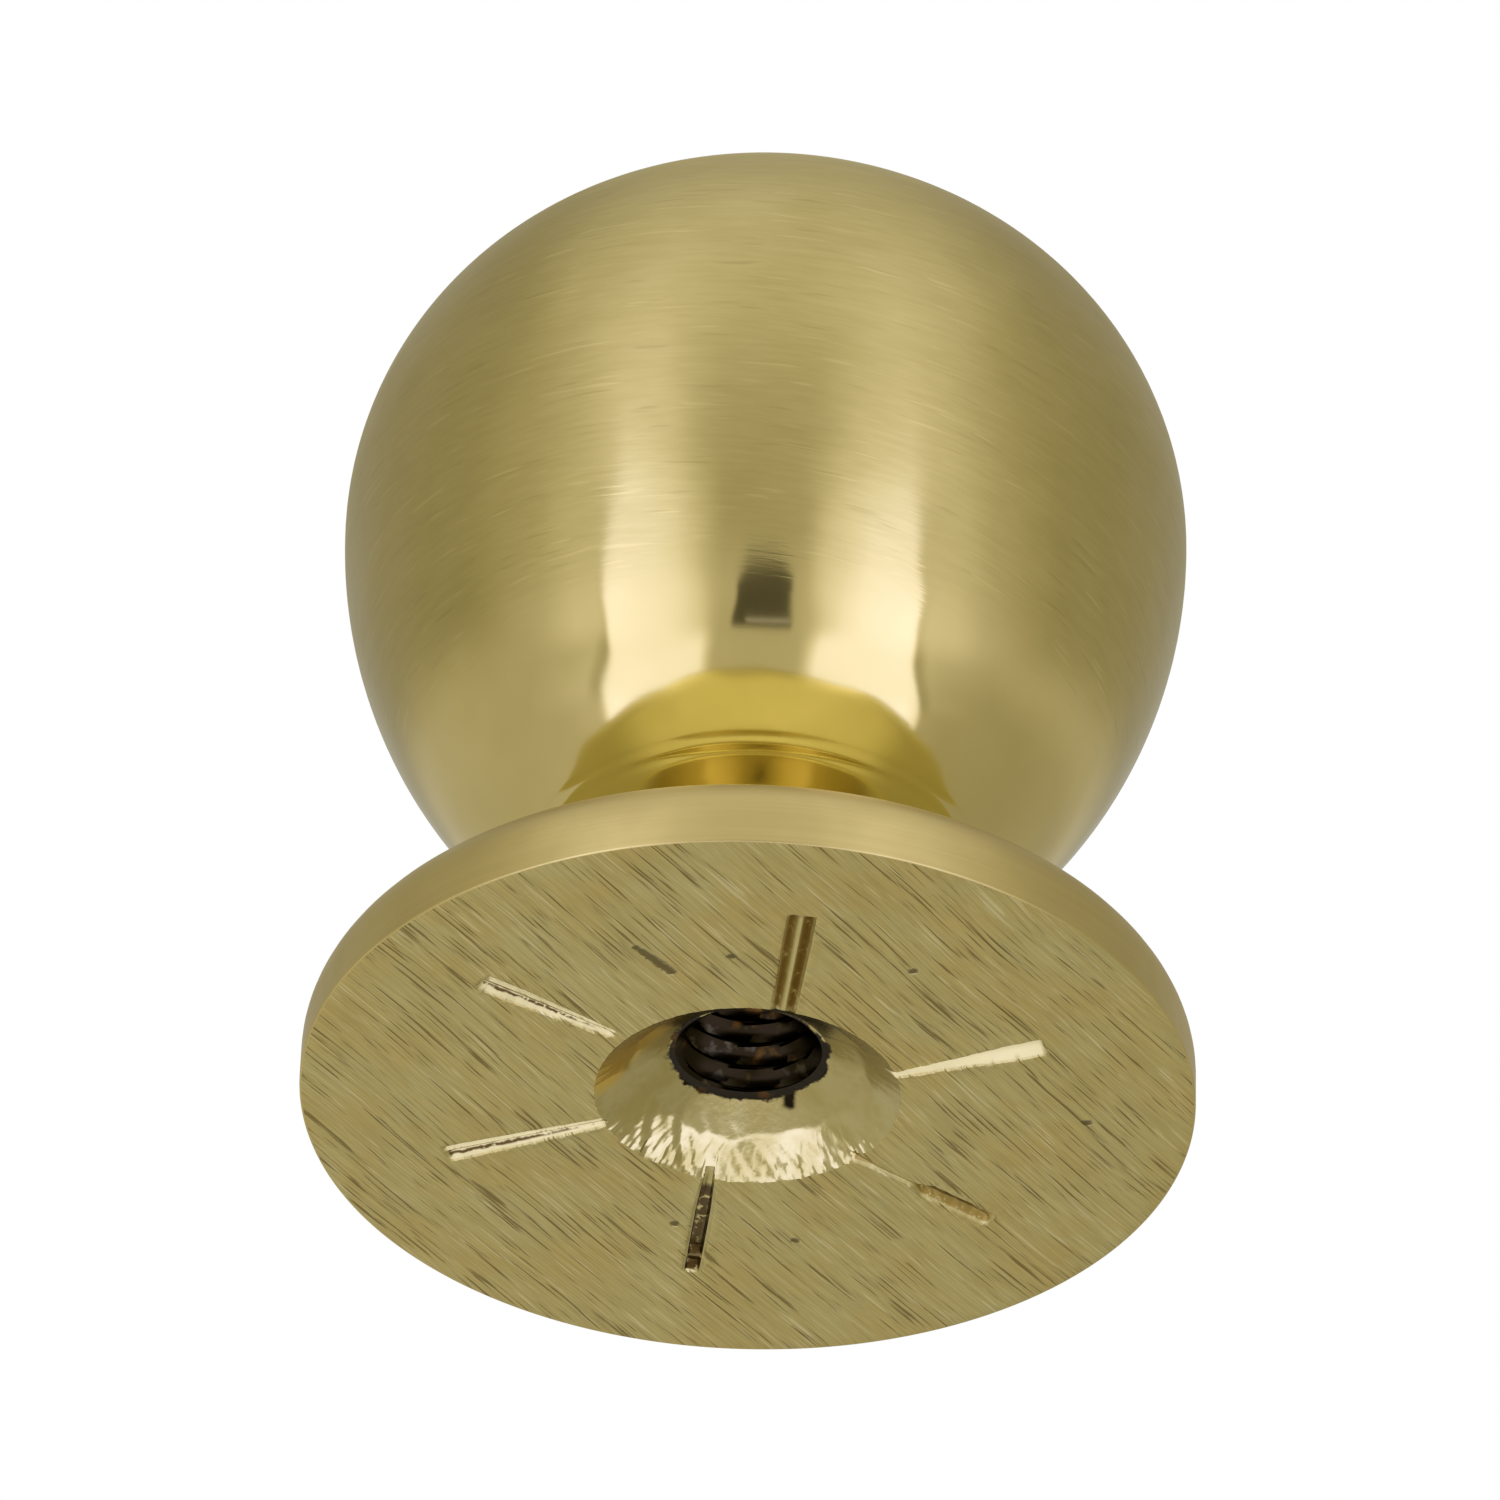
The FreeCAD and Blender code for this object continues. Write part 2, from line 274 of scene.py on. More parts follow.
# The whole outline from the tip of the hole to the top of the ball, as zones with points of radius and level.
# The last number of each arc or line is how many points it has.
def outlineStretches():
    o, h, g = outline, hole, grid
    sideTop = o["backRound"] + o["sideHeight"]
    frontLevel = sideTop + o["frontRound"]
    collarLevel = frontLevel + o["collarHeight"]
    bevelLevel = collarLevel - o["collarBevel"]
    neckFoot = collarLevel + o["coveRadius"]
    neckTop = neckFoot + o["neckLength"]
    backInset = o["flangeRadius"] - o["backRound"]
    frontInset = o["flangeRadius"] - o["frontRound"]
    bevelRadius = o["collarRadius"] - o["collarBevel"]
    coveCentre = o["neckRadius"] + o["coveRadius"]
    bendCentre = o["neckRadius"] + o["neckRound"]
    underPole, underSide, underJoin = ballHalf(o["ballDrop"])
    topPole, topSide, topJoin = ballHalf(o["ballRise"])
    bendReach = underPole + o["neckRound"]
    bendAngle = math.degrees(math.acos(bendCentre / bendReach))
    underCentre = neckTop + bendReach * math.sin(math.radians(bendAngle))
    ballLevel = underCentre - underPole + o["ballDrop"]
    top = ballLevel + o["ballRise"]
    marksFrom, marksTo = g["markLatitudes"]
    underside, neckMove = flattenUnderside(np.concatenate((
        arcPoints((0, underCentre), underPole, -bendAngle, marksFrom, 14)[:-1],
        arcPoints((0, underCentre), underPole, marksFrom, marksTo, 44)[:-1],
        arcPoints((0, underCentre), underPole, marksTo, -underJoin, 16)[:-1],
        arcPoints((o["ballRadius"] - underSide, ballLevel), underSide, -underJoin, 0, 40))), ballLevel)
    wallStart = (h["mouthRadius"] - h["majorRadius"]) / h["mouthSlope"]
    threadRings = int((h["threadEnd"] - wallStart) / g["threadStep"])
    cutRings = int((g["cutEnd"] - h["mouthRadius"]) / g["cutStep"])
    tip = h["depth"] + h["minorRadius"] / h["pointSlope"]
    tipEdge = (h["tipRadius"], tip - h["tipRadius"] / h["pointSlope"])
    shape = [
        ("bore", linePoints(tipEdge, (h["minorRadius"], h["depth"]), 6)),
        ("bore", linePoints((h["minorRadius"], h["depth"]), (h["minorRadius"], h["threadEnd"]), 6)),
        ("thread", linePoints((h["minorRadius"], h["threadEnd"]), (h["minorRadius"], wallStart), threadRings)),
        ("mouth", linePoints((h["majorRadius"], wallStart), (h["mouthRadius"], 0), 24)),
        ("back", linePoints((h["mouthRadius"], 0), (g["cutEnd"], 0), cutRings)),
        ("back", linePoints((g["cutEnd"], 0), (backInset, 0), 9)),
        ("rim", arcPoints((backInset, o["backRound"]), o["backRound"], -90, 0, 7)),
        ("rim", linePoints((o["flangeRadius"], o["backRound"]), (o["flangeRadius"], sideTop), 5)),
        ("rim", arcPoints((frontInset, sideTop), o["frontRound"], 0, o["satinTo"], 8)),
        ("front", arcPoints((frontInset, sideTop), o["frontRound"], o["satinTo"], 90, 11)),
        ("front", linePoints((frontInset, frontLevel), (o["collarRadius"], frontLevel), 6)),
        ("front", linePoints((o["collarRadius"], frontLevel), (o["collarRadius"], bevelLevel), 3)),
        ("front", linePoints((o["collarRadius"], bevelLevel), (bevelRadius, collarLevel), 3)),
        ("front", linePoints((bevelRadius, collarLevel), (coveCentre, collarLevel), 4)),
        ("front", arcPoints((coveCentre, neckFoot), o["coveRadius"], 270, 180, 11)),
        ("front", neckMove + arcPoints((bendCentre, neckTop), o["neckRound"], 180, 180 - bendAngle, 8)),
        ("ball", underside),
        ("ball", arcPoints((o["ballRadius"] - topSide, ballLevel), topSide, 0, topJoin, 32)),
        ("ball", arcPoints((0, top - topPole), topPole, topJoin, g["lastLatitude"], 20)),
    ]
    return shape, tip, top, ballLevel


def ringsAlongOutline(shape):
    rings = []
    for zone, points in shape:
        for radius, level in points:
            if rings and math.hypot(rings[-1][1] - radius, rings[-1][2] - level) < 1e-6:
                continue
            rings.append((zone, radius, level))
    return rings


# Places across a cut that get a column of their own: each corner of its section, the middles between them and
# its margins
def columnsAcross(spoke):
    corners = [p[0] for p in spoke["section"]]
    middles = [(a + b) / 2 for a, b in zip(corners, corners[1:])]
    margins = []
    for margin in (cutForm["burrOffset"], grid["spokeMargin"]):
        margins += [corners[0] - margin, corners[-1] + margin]
    return np.array(sorted(corners + middles + margins))


# How far the countersink's shift carries at this place: all of it at the mouth, none far out or deep down
def mouthShift(radius, level):
    shift = hole["offCentre"] * smoothStep(hole["straightFrom"], hole["mouthRadius"], radius)
    return float(shift * (1 - smoothStep(*hole["straightDepths"], level)))


# Columns run straight along each cut where combed is 1 and fan out evenly where it is 0
def columnAngles(radius, combed, shift):
    bundles = []
    for spoke in spokes:
        slip = shift * math.sin(math.radians(hole["offCentreAzimuth"] - spoke["azimuth"]))
        lateral = spoke["offset"] + columnsAcross(spoke) * alongShare(spoke["widths"], radius) - slip
        spread = np.arcsin(np.clip(lateral / max(radius, grid["leastRadius"]), -0.9, 0.9))
        bundles.append(math.radians(spoke["azimuth"]) + spread)
    spare = grid["columns"] - sum(len(b) for b in bundles)
    angles = []
    for index, here in enumerate(bundles):
        wholeTurn = 2 * math.pi if index + 1 == len(bundles) else 0
        following = bundles[(index + 1) % len(bundles)][0] + wholeTurn
        gap = spare // len(bundles) + (1 if index < spare % len(bundles) else 0)
        angles.append(here)
        angles.append(np.linspace(here[-1], following, gap + 2)[1:-1])
    angles = np.concatenate(angles)
    fromFirst = np.arange(len(angles)) - len(bundles[0]) // 2
    even = 2 * math.pi * fromFirst / len(angles) + math.radians(spokes[0]["azimuth"])
    return angles * combed + even * (1 - combed)


# How far each point of the back face is cut in (positive) or raised (negative) by the six cuts
def spokeCut(x, y):
    c = cutForm
    cut = np.zeros_like(x)
    raised = np.zeros_like(x)
    for seed, spoke in enumerate(spokes):
        turn = math.radians(spoke["azimuth"])
        along = x * math.cos(turn) + y * math.sin(turn)
        side = -x * math.sin(turn) + y * math.cos(turn) - spoke["offset"]
        across = side / alongShare(spoke["widths"], along)
        places = [p[0] for p in spoke["section"]]
        depth = np.interp(across, places, [p[1] for p in spoke["section"]])
        begun = smoothStep(*(spoke["start"] + slope for slope in c["startSlope"]), along)
        ended = smoothStep(*(spoke["end"] + slope for slope in c["endSlope"]), along)
        ends = begun * (1 - ended)
        ragged = 1 + c["raggedness"] * spoke["rough"] * waver(along * 2.6 + across * 1.5, seed + 3)
        cut = np.maximum(cut, depth * ends * alongShare(spoke["depths"], along) * ragged)
        for edge, burrSeed in ((places[0] - c["burrOffset"], 1), (places[-1] + c["burrOffset"], 2)):
            burr = np.exp(-((across - edge) / c["burrWidth"]) ** 2) * ends
            uneven = np.clip(0.6 + waver(along * 4.5, seed * 3 + burrSeed), 0, 1.3)
            raised = np.maximum(raised, c["burrHeight"] * burr * uneven)
    return np.where(cut > c["leastDepth"], cut, -raised)


def mouthChatter(azimuth, share):
    c = chatter
    turn = np.mod(np.degrees(azimuth) - c["from"], 360)
    strength = c["least"] + (1 - c["least"]) * smoothStep(*c["rise"], turn) * (1 - smoothStep(*c["fade"], turn))
    marks = waver(azimuth * 7 + share * 3, 1) + 0.5 * waver(azimuth * 15 - share * 4, 4)
    folds = waver(azimuth * 5 + share * 2, 8) * smoothStep(*c["foldRise"], turn)
    folds = folds * (1 - smoothStep(*c["foldFade"], turn)) * smoothStep(*c["foldShare"], share)
    return strength * (c["depth"] * marks * smoothStep(*c["share"], share) + c["foldDepth"] * folds)


def threadRadius(azimuth, level):
    h = hole
    phase = np.mod(level / h["pitch"] - azimuth / (2 * math.pi), 1)
    wave = np.clip((1 + 2 * h["threadFlat"]) * np.abs(2 * phase - 1) - h["threadFlat"], 0, 1)
    fade = 1 - smoothStep(h["threadEnd"] - h["threadRunout"], h["threadEnd"], level)
    return h["minorRadius"] + (h["majorRadius"] - h["minorRadius"]) * wave * fade


def ringPoints(ring, angles, shift):
    zone, radius, level = ring
    h = hole
    turn = math.radians(h["offCentreAzimuth"])
    radii = np.full_like(angles, radius)
    levels = np.full_like(angles, level)
    if zone == "thread":
        radii = threadRadius(angles, level)
    if zone == "mouth":
        share = (radius - h["majorRadius"]) / (h["mouthRadius"] - h["majorRadius"])
        bend = h["bendShare"] + h["bendWaver"] * waver(angles * 2, 3)
        bow = h["innerCone"] * np.where(share < bend, share / bend, (1 - share) / (1 - bend))
        levels = levels + bow + mouthChatter(angles, np.full_like(angles, share))
        torn = 0.3 + 0.7 * smoothStep(0.0, 0.5, -np.cos(angles - turn))
        radii = radii + h["edgeWaver"] * torn * waver(angles * 17, 5) * smoothStep(0.6, 0.95, share)
    x = radii * np.cos(angles) + shift * math.cos(turn)
    y = radii * np.sin(angles) + shift * math.sin(turn)
    if zone == "back":
        levels = levels + spokeCut(x, y)
    if zone == "mouth":
        levels = np.maximum(levels, spokeCut(x, y))
    return np.column_stack((x, y, levels))


# Every how many columns this ring takes one, and how far its columns follow the cuts
def gridLayout(ring):
    zone, radius, level = ring
    if zone in ("bore", "thread"):
        return grid["boreMerge"], 0.0
    if zone == "mouth":
        return 1, float(smoothStep(*grid["mouthComb"], radius))
    if zone == "back":
        return 1, float(1 - smoothStep(*grid["backComb"], radius))
    if zone == "rim" and level < outline["backRound"]:
        return 1, 0.0
    return grid["ballMerge"], 0.0


# One face spans several columns on its finer side
def joinUnequal(previous, here):
    finer, coarser = (previous, here) if len(previous) > len(here) else (here, previous)
    step = len(finer) // len(coarser)
    joined = []
    for index in range(len(coarser)):
        chain = [int(finer[(index * step + k) % len(finer)]) for k in range(step + 1)]
        ends = [int(coarser[index]), int(coarser[(index + 1) % len(coarser)])]
        if finer is previous:
            joined.append(tuple([ends[0], ends[1]] + chain[::-1]))
        else:
            joined.append(tuple([ends[1], ends[0]] + chain))
    return joined


def buildKnobMesh():
    shape, tip, top, ballLevel = outlineStretches()
    materialOf = {"bore": 0, "thread": 0, "mouth": 1, "back": 2, "rim": 3, "front": 4, "ball": 5}
    points = [np.array([[0, 0, tip]])]
    faces, slots = [], []
    previous, count = None, 1
    for ring in ringsAlongOutline(shape):
        zone, radius, level = ring
        merge, combed = gridLayout(ring)
        shift = mouthShift(radius, level) if zone in ("thread", "mouth", "back") else 0.0
        angles = columnAngles(radius, combed, shift)[::merge]
        points.append(ringPoints(ring, angles, shift))
        here = count + np.arange(len(angles))
        ahead = np.roll(here, -1)
        if previous is None:
            joined = [(0, int(a), int(b)) for a, b in zip(here, ahead)]
        elif len(previous) == len(here):
            below = np.roll(previous, -1)
            joined = list(zip(previous.tolist(), here.tolist(), ahead.tolist(), below.tolist()))
        else:
            joined = joinUnequal(previous, here)
        faces += joined
        slots += [materialOf[zone]] * len(joined)
        count += len(here)
        previous = here
    points.append(np.array([[0, 0, top]]))
    faces += [(count, int(b), int(a)) for a, b in zip(previous, np.roll(previous, -1))]
    slots += [materialOf["ball"]] * len(previous)
    mesh = bpy.data.meshes.new("knobBrass")
    mesh.from_pydata((np.concatenate(points) * mm).tolist(), [], faces)
    mesh.polygons.foreach_set("material_index", slots)
    mesh.polygons.foreach_set("use_smooth", [True] * len(mesh.polygons))
    mesh.set_sharp_from_angle(angle=math.radians(grid["sharpAngle"]))
    mesh.validate()
    mesh.update()
    return mesh, ballLevel


knobMesh, ballLevel = buildKnobMesh()
knob = bpy.data.objects.new("knobBrass", knobMesh)
bpy.context.scene.collection.objects.link(knob)
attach(knob, "root")
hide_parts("knob")
triangles = sum(len(p.vertices) - 2 for p in knobMesh.polygons)
print("knob mesh ready:", len(knobMesh.vertices), "points,", triangles, "triangles")


# Node helpers: an input may be a plain value or another node's output
def setInput(tree, socket, value):
    if isinstance(value, bpy.types.NodeSocket):
        tree.links.new(value, socket)
    else:
        socket.default_value = value


def addNode(tree, kind, inputs=None, **settings):
    node = tree.nodes.new("ShaderNode" + kind)
    for name, value in settings.items():
        setattr(node, name, value)
    for key, value in (inputs or {}).items():
        setInput(tree, node.inputs[key], value)
    return node


def calc(tree, operation, *terms):
    return addNode(tree, "Math", dict(enumerate(terms)), operation=operation).outputs[0]


def add(tree, first, second):
    return calc(tree, "ADD", first, second)


def subtract(tree, first, second):
    return calc(tree, "SUBTRACT", first, second)


def multiply(tree, first, second):
    return calc(tree, "MULTIPLY", first, second)


def flatDistance(tree, x, y):
    return calc(tree, "SQRT", add(tree, calc(tree, "POWER", x, 2.0), calc(tree, "POWER", y, 2.0)))


def vectorCalc(tree, operation, *terms):
    node = addNode(tree, "VectorMath", dict(enumerate(terms)), operation=operation)
    return node.outputs["Value" if operation in ("DOT_PRODUCT", "DISTANCE") else "Vector"]


def scaled(tree, vector, factor):
    return addNode(tree, "VectorMath", {0: vector, "Scale": factor}, operation="SCALE").outputs[0]


def ramp(tree, value, low, high, fromValue=0.0, toValue=1.0, kind="SMOOTHSTEP"):
    inputs = {0: value, 1: low, 2: high, 3: fromValue, 4: toValue}
    return addNode(tree, "MapRange", inputs, interpolation_type=kind).outputs[0]


def blendColour(tree, share, first, second, kind="MIX"):
    return addNode(tree, "Mix", {0: share, 6: first, 7: second}, data_type="RGBA", blend_type=kind).outputs[2]


def blendLevel(tree, share, first, second):
    return addNode(tree, "Mix", {0: share, 2: first, 3: second}, data_type="FLOAT").outputs[0]


def noise(tree, vector, detail=2.0, roughness=0.5, scale=1.0):
    inputs = {"Vector": vector, "Scale": scale, "Detail": detail, "Roughness": roughness}
    return addNode(tree, "TexNoise", inputs).outputs[0]


def inMillimetres(tree):
    return scaled(tree, addNode(tree, "TexCoord").outputs["Object"], perMetre)


def newGroup(name, inputs, outputs):
    tree = bpy.data.node_groups.new(name, "ShaderNodeTree")
    for label, value in inputs.items():
        kind = {3: "Vector", 4: "Color"}[len(value)] if isinstance(value, tuple) else "Float"
        socket = tree.interface.new_socket(label, in_out="INPUT", socket_type="NodeSocket" + kind)
        socket.default_value = value
    for label in outputs:
        kind = "Color" if label == "Color" else "Float"
        tree.interface.new_socket(label, in_out="OUTPUT", socket_type="NodeSocket" + kind)
    return tree, tree.nodes.new("NodeGroupInput").outputs, tree.nodes.new("NodeGroupOutput").inputs


def useGroup(tree, group, **values):
    node = tree.nodes.new("ShaderNodeGroup")
    node.node_tree = group
    for name, value in values.items():
        setInput(tree, node.inputs[name], value)
    return node.outputs


# Fine lines that a lathe or a turning cloth leaves round the axis. They slant towards one side of the knob.
lineForm = {
    "aroundScale": 10.0,
    "leastRadius": 0.05,
    "slantAzimuth": 24.2,
    "broadScale": (0.5, 0.5, 0.18),
    "heightShares": (0.7, 0.3),
    "streakShares": (0.75, 0.25),
    "streakSpan": (0.3, 0.7),
    "strokeScale": (0.75, 0.75, 1.0),
    "strokeSpan": (0.64, 0.76),
    "strokeShifts": {"Dark": (3.7, 1.9, 5.3), "Light": (7.1, 4.4, 11.6)},
}


def makeTurnedLines():
    f = lineForm
    tree, given, result = newGroup(
        "turnedLines",
        {"CentreRadius": 0.0, "CentreLevel": 0.0, "Reach": 10.0, "Length": 4.0, "Density": 10.0, "Slant": 0.0},
        ["Height", "Streaks", "Latitude", "Dark", "Light"])
    spot = inMillimetres(tree)
    parts = addNode(tree, "SeparateXYZ", {0: spot}).outputs
    radius = flatDistance(tree, parts[0], parts[1])
    angle = calc(tree, "ARCTAN2", subtract(tree, parts[2], given["CentreLevel"]),
                 subtract(tree, radius, given["CentreRadius"]))
    toSide = vectorCalc(tree, "DOT_PRODUCT", spot, levelDirection(f["slantAzimuth"]))
    along = add(tree, multiply(tree, angle, given["Reach"]), multiply(tree, toSide, given["Slant"]))
    around = calc(tree, "DIVIDE", f["aroundScale"], given["Length"])
    safeRadius = calc(tree, "MAXIMUM", radius, f["leastRadius"])
    fine = addNode(tree, "CombineXYZ", {
        0: multiply(tree, calc(tree, "DIVIDE", parts[0], safeRadius), around),
        1: multiply(tree, calc(tree, "DIVIDE", parts[1], safeRadius), around),
        2: multiply(tree, along, given["Density"])}).outputs[0]
    fineLines = noise(tree, fine, 3.0, 0.6)
    broadLines = noise(tree, vectorCalc(tree, "MULTIPLY", fine, f["broadScale"]), 2.0, 0.5)

    def mixed(shares):
        return add(tree, multiply(tree, fineLines, shares[0]), multiply(tree, broadLines, shares[1]))

    setInput(tree, result["Height"], mixed(f["heightShares"]))
    setInput(tree, result["Streaks"], ramp(tree, mixed(f["streakShares"]), *f["streakSpan"]))
    setInput(tree, result["Latitude"], calc(tree, "DEGREES", angle))
    for label, shift in f["strokeShifts"].items():
        moved = vectorCalc(tree, "MULTIPLY_ADD", fine, f["strokeScale"], shift)
        setInput(tree, result[label], ramp(tree, noise(tree, moved, 1.0, 0.5), *f["strokeSpan"]))
    return tree


# Straight strokes of sanding paper, with short dark and light ones among the fine grain.
# A layer is its shift, its stretch along and across the strokes, and its detail.
strokeForm = {
    "swayScale": 0.12,
    "swayReach": 0.5,
    "grain": (3.1, 1.0, 1.3, 3.0),
    "broad": (41.9, 0.4, 0.22, 3.0),
    "dark": (11.7, 0.9, 1.0, 2.0),
    "light": (23.3, 1.1, 1.2, 2.0),
    "layerRoughness": 0.55,
    "broadSpan": (0.36, 0.64),
    "darkSpan": (0.585, 0.69),
    "lightSpan": (0.61, 0.71),
    "patchScale": 0.45,
    "patchSpan": (0.3, 0.7),
    "patchShift": 0.05,
    "grainHeight": 0.6,
    "darkDepth": 0.7,
}


def makeSandedStrokes():
    f = strokeForm
    tree, given, result = newGroup(
        "sandedStrokes",
        {"Heading": 0.0, "Length": 2.0, "Density": 8.0, "Seed": 0.0},
        ["Height", "Dark", "Light", "Grain", "Broad"])
    spot = inMillimetres(tree)
    back = multiply(tree, given["Heading"], -1.0)
    turned = addNode(tree, "VectorRotate", {"Vector": spot, "Angle": back}, rotation_type="Z_AXIS").outputs[0]
    sway = subtract(tree, noise(tree, scaled(tree, turned, f["swayScale"]), 1.0), 0.5)
    parts = addNode(tree, "SeparateXYZ", {0: turned}).outputs
    alongStroke = calc(tree, "DIVIDE", parts[0], given["Length"])
    acrossStroke = add(tree, parts[1], multiply(tree, sway, f["swayReach"]))
    acrossStroke = multiply(tree, acrossStroke, given["Density"])

    def layer(name):
        shift, longer, finer, detail = f[name]
        vector = addNode(tree, "CombineXYZ", {
            0: add(tree, multiply(tree, alongStroke, longer), shift),
            1: multiply(tree, acrossStroke, finer),
            2: add(tree, given["Seed"], shift)}).outputs[0]
        return noise(tree, vector, detail, f["layerRoughness"])

    patch = noise(tree, spot, 2.0, 0.5, f["patchScale"])
    shift = f["patchShift"]
    grain = layer("grain")
    broad = ramp(tree, layer("broad"), *f["broadSpan"])
    darker = ramp(tree, patch, *f["patchSpan"], -shift, shift)
    lighter = ramp(tree, patch, *f["patchSpan"], shift, -shift)
    dark = ramp(tree, add(tree, layer("dark"), darker), *f["darkSpan"])
    light = ramp(tree, add(tree, layer("light"), lighter), *f["lightSpan"])
    height = subtract(tree, multiply(tree, grain, f["grainHeight"]), multiply(tree, dark, f["darkDepth"]))
    named = {"Height": height, "Dark": dark, "Light": light, "Grain": grain, "Broad": broad}
    for label, value in named.items():
        setInput(tree, result[label], value)
    return tree


# Slow drift between two tones of the metal, and of its shine with them
driftForm = {
    "toneSpan": (0.35, 0.65),
    "shineSpan": (0.3, 0.7),
    "shineFactors": (0.88, 1.14),
}


def makeToneDrift():
    f = driftForm
    tree, given, result = newGroup(
        "toneDrift",
        {"First": (0.5, 0.5, 0.5, 1), "Second": (0.5, 0.5, 0.5, 1), "Scale": 0.5, "Shine": 0.3},
        ["Color", "Roughness"])
    slow = noise(tree, inMillimetres(tree), 3.0, 0.6, given["Scale"])
    share = ramp(tree, slow, *f["toneSpan"])
    setInput(tree, result["Color"], blendColour(tree, share, given["First"], given["Second"]))
    spread = ramp(tree, slow, *f["shineSpan"], *f["shineFactors"])
    setInput(tree, result["Roughness"], multiply(tree, given["Shine"], spread))
    return tree


# A nick, scratch or stain: 1 on the line from one point to the other, 0 beyond its width
nickForm = {
    "wobbleScale": 4.0,
    "wobbleReach": (0.16, 0.16, 0.0),
    "core": 0.35,
}


def makeNick():
    f = nickForm
    tree, given, result = newGroup(
        "nick",
        {"From": (0, 0, 0), "To": (0, 0, 0), "Width": 0.1},
        ["Mask"])
    spot = inMillimetres(tree)
    wobble = addNode(tree, "TexNoise", {"Vector": spot, "Scale": f["wobbleScale"], "Detail": 2.0}).outputs[1]
    centred = vectorCalc(tree, "SUBTRACT", wobble, (0.5, 0.5, 0.5))
    shaken = vectorCalc(tree, "MULTIPLY_ADD", centred, f["wobbleReach"], spot)
    line = vectorCalc(tree, "SUBTRACT", given["To"], given["From"])
    reach = vectorCalc(tree, "SUBTRACT", shaken, given["From"])
    square = calc(tree, "MAXIMUM", vectorCalc(tree, "DOT_PRODUCT", line, line), 1e-6)
    share = calc(tree, "DIVIDE", vectorCalc(tree, "DOT_PRODUCT", reach, line), square)
    share = calc(tree, "MINIMUM", calc(tree, "MAXIMUM", share, 0.0), 1.0)
    apart = vectorCalc(tree, "DISTANCE", reach, scaled(tree, line, share))
    mask = ramp(tree, calc(tree, "DIVIDE", apart, given["Width"]), 1.0, f["core"])
    setInput(tree, result["Mask"], mask)
    return tree


# Cutting oil that has dried in and round the hole
oilForm = {
    "tornScale": 2.2,
    "edge": (0.05, -0.03),
    "streakScale": 1.1,
    "brownSpan": (0.56, 0.74),
    "black": (0.016, 0.011, 0.0045, 1),
    "brown": (0.10, 0.045, 0.008, 1),
}


def makeOldOil():
    f = oilForm
    tree, given, result = newGroup(
        "oldOil",
        {"Edge": 2.1, "Ragged": 0.3, "ShiftX": 0.0, "ShiftY": 0.0},
        ["Mask", "Color"])
    spot = inMillimetres(tree)
    parts = addNode(tree, "SeparateXYZ", {0: spot}).outputs
    radius = flatDistance(tree, subtract(tree, parts[0], given["ShiftX"]),
                          subtract(tree, parts[1], given["ShiftY"]))
    torn = multiply(tree, subtract(tree, noise(tree, spot, 3.0, 0.6, f["tornScale"]), 0.5), given["Ragged"])
    outside = subtract(tree, radius, add(tree, given["Edge"], torn))
    setInput(tree, result["Mask"], ramp(tree, outside, *f["edge"]))
    brown = ramp(tree, noise(tree, spot, 3.0, 0.6, f["streakScale"]), *f["brownSpan"])
    setInput(tree, result["Color"], blendColour(tree, brown, f["black"], f["brown"]))
    return tree


turnedLines = makeTurnedLines()
sandedStrokes = makeSandedStrokes()
toneDrift = makeToneDrift()
nick = makeNick()
oldOil = makeOldOil()


def startMaterial(name):
    material = bpy.data.materials.new(name)
    material.use_nodes = True
    tree = material.node_tree
    shader = tree.nodes["Principled BSDF"]
    shader.inputs["Metallic"].default_value = 1.0
    return material, tree, shader


def driftingTone(tree, look, shine):
    return useGroup(tree, toneDrift, First=look["first"], Second=look["second"], Scale=look["driftScale"],
                    Shine=shine)


def nickMask(tree, start, end, width):
    return useGroup(tree, nick, From=start, To=end, Width=width)["Mask"]


def setSurface(tree, shader, colour, roughness, height, depth):
    bump = addNode(tree, "Bump", {"Height": height, "Distance": depth * mm, "Strength": 1.0})
    for label, value in (("Base Color", colour), ("Roughness", roughness), ("Normal", bump.outputs[0])):
        setInput(tree, shader.inputs[label], value)


# Brushed lines round the axis stretch a highlight across them
def brushRound(tree, shader, strength):
    shader.inputs["Anisotropic"].default_value = strength
    shader.inputs["Anisotropic Rotation"].default_value = 0.25
    tangent = addNode(tree, "Tangent", direction_type="RADIAL", axis="Z")
    setInput(tree, shader.inputs["Tangent"], tangent.outputs[0])


# The ball is brushed above and polished below. Its spans are latitudes.
# Below gainSpan its colour is lifted by a painted sheen, lighter and bluer, standing in for the brighter
# reflections of the polished underside.
ballLook = {
    "first": (0.450, 0.364, 0.138, 1),
    "second": (0.418, 0.338, 0.120, 1),
    "driftScale": 0.16,
    "paintedSheenGain": (1.2, 1.2, 1.3, 1),
    # painted sheen: a lighter, bluer colour over the polished underside
    "gainSpan": (-32.0, -44.0),
    "darkLine": (0.955, 0.95, 0.92, 1),
    "lightLine": (1.035, 1.035, 1.045, 1),
    "darkStroke": (0.89, 0.885, 0.85, 1),
    "lightStroke": (1.12, 1.12, 1.16, 1),
    "lines": {"Length": 1.3, "Density": 8.5, "Slant": 0.09},
    "roughSpan": (-46.0, 6.0),
    "roughness": (0.08, 0.34),
    "lineSpan": (-46.0, -30.0),
    "lineShares": (0.05, 1.0),
    "strokeShare": 0.3,
    "lineDepth": 0.0045,
    "waveDepth": 0.045,
    "waveScale": 0.4,
    "anisotropy": 0.75,
}


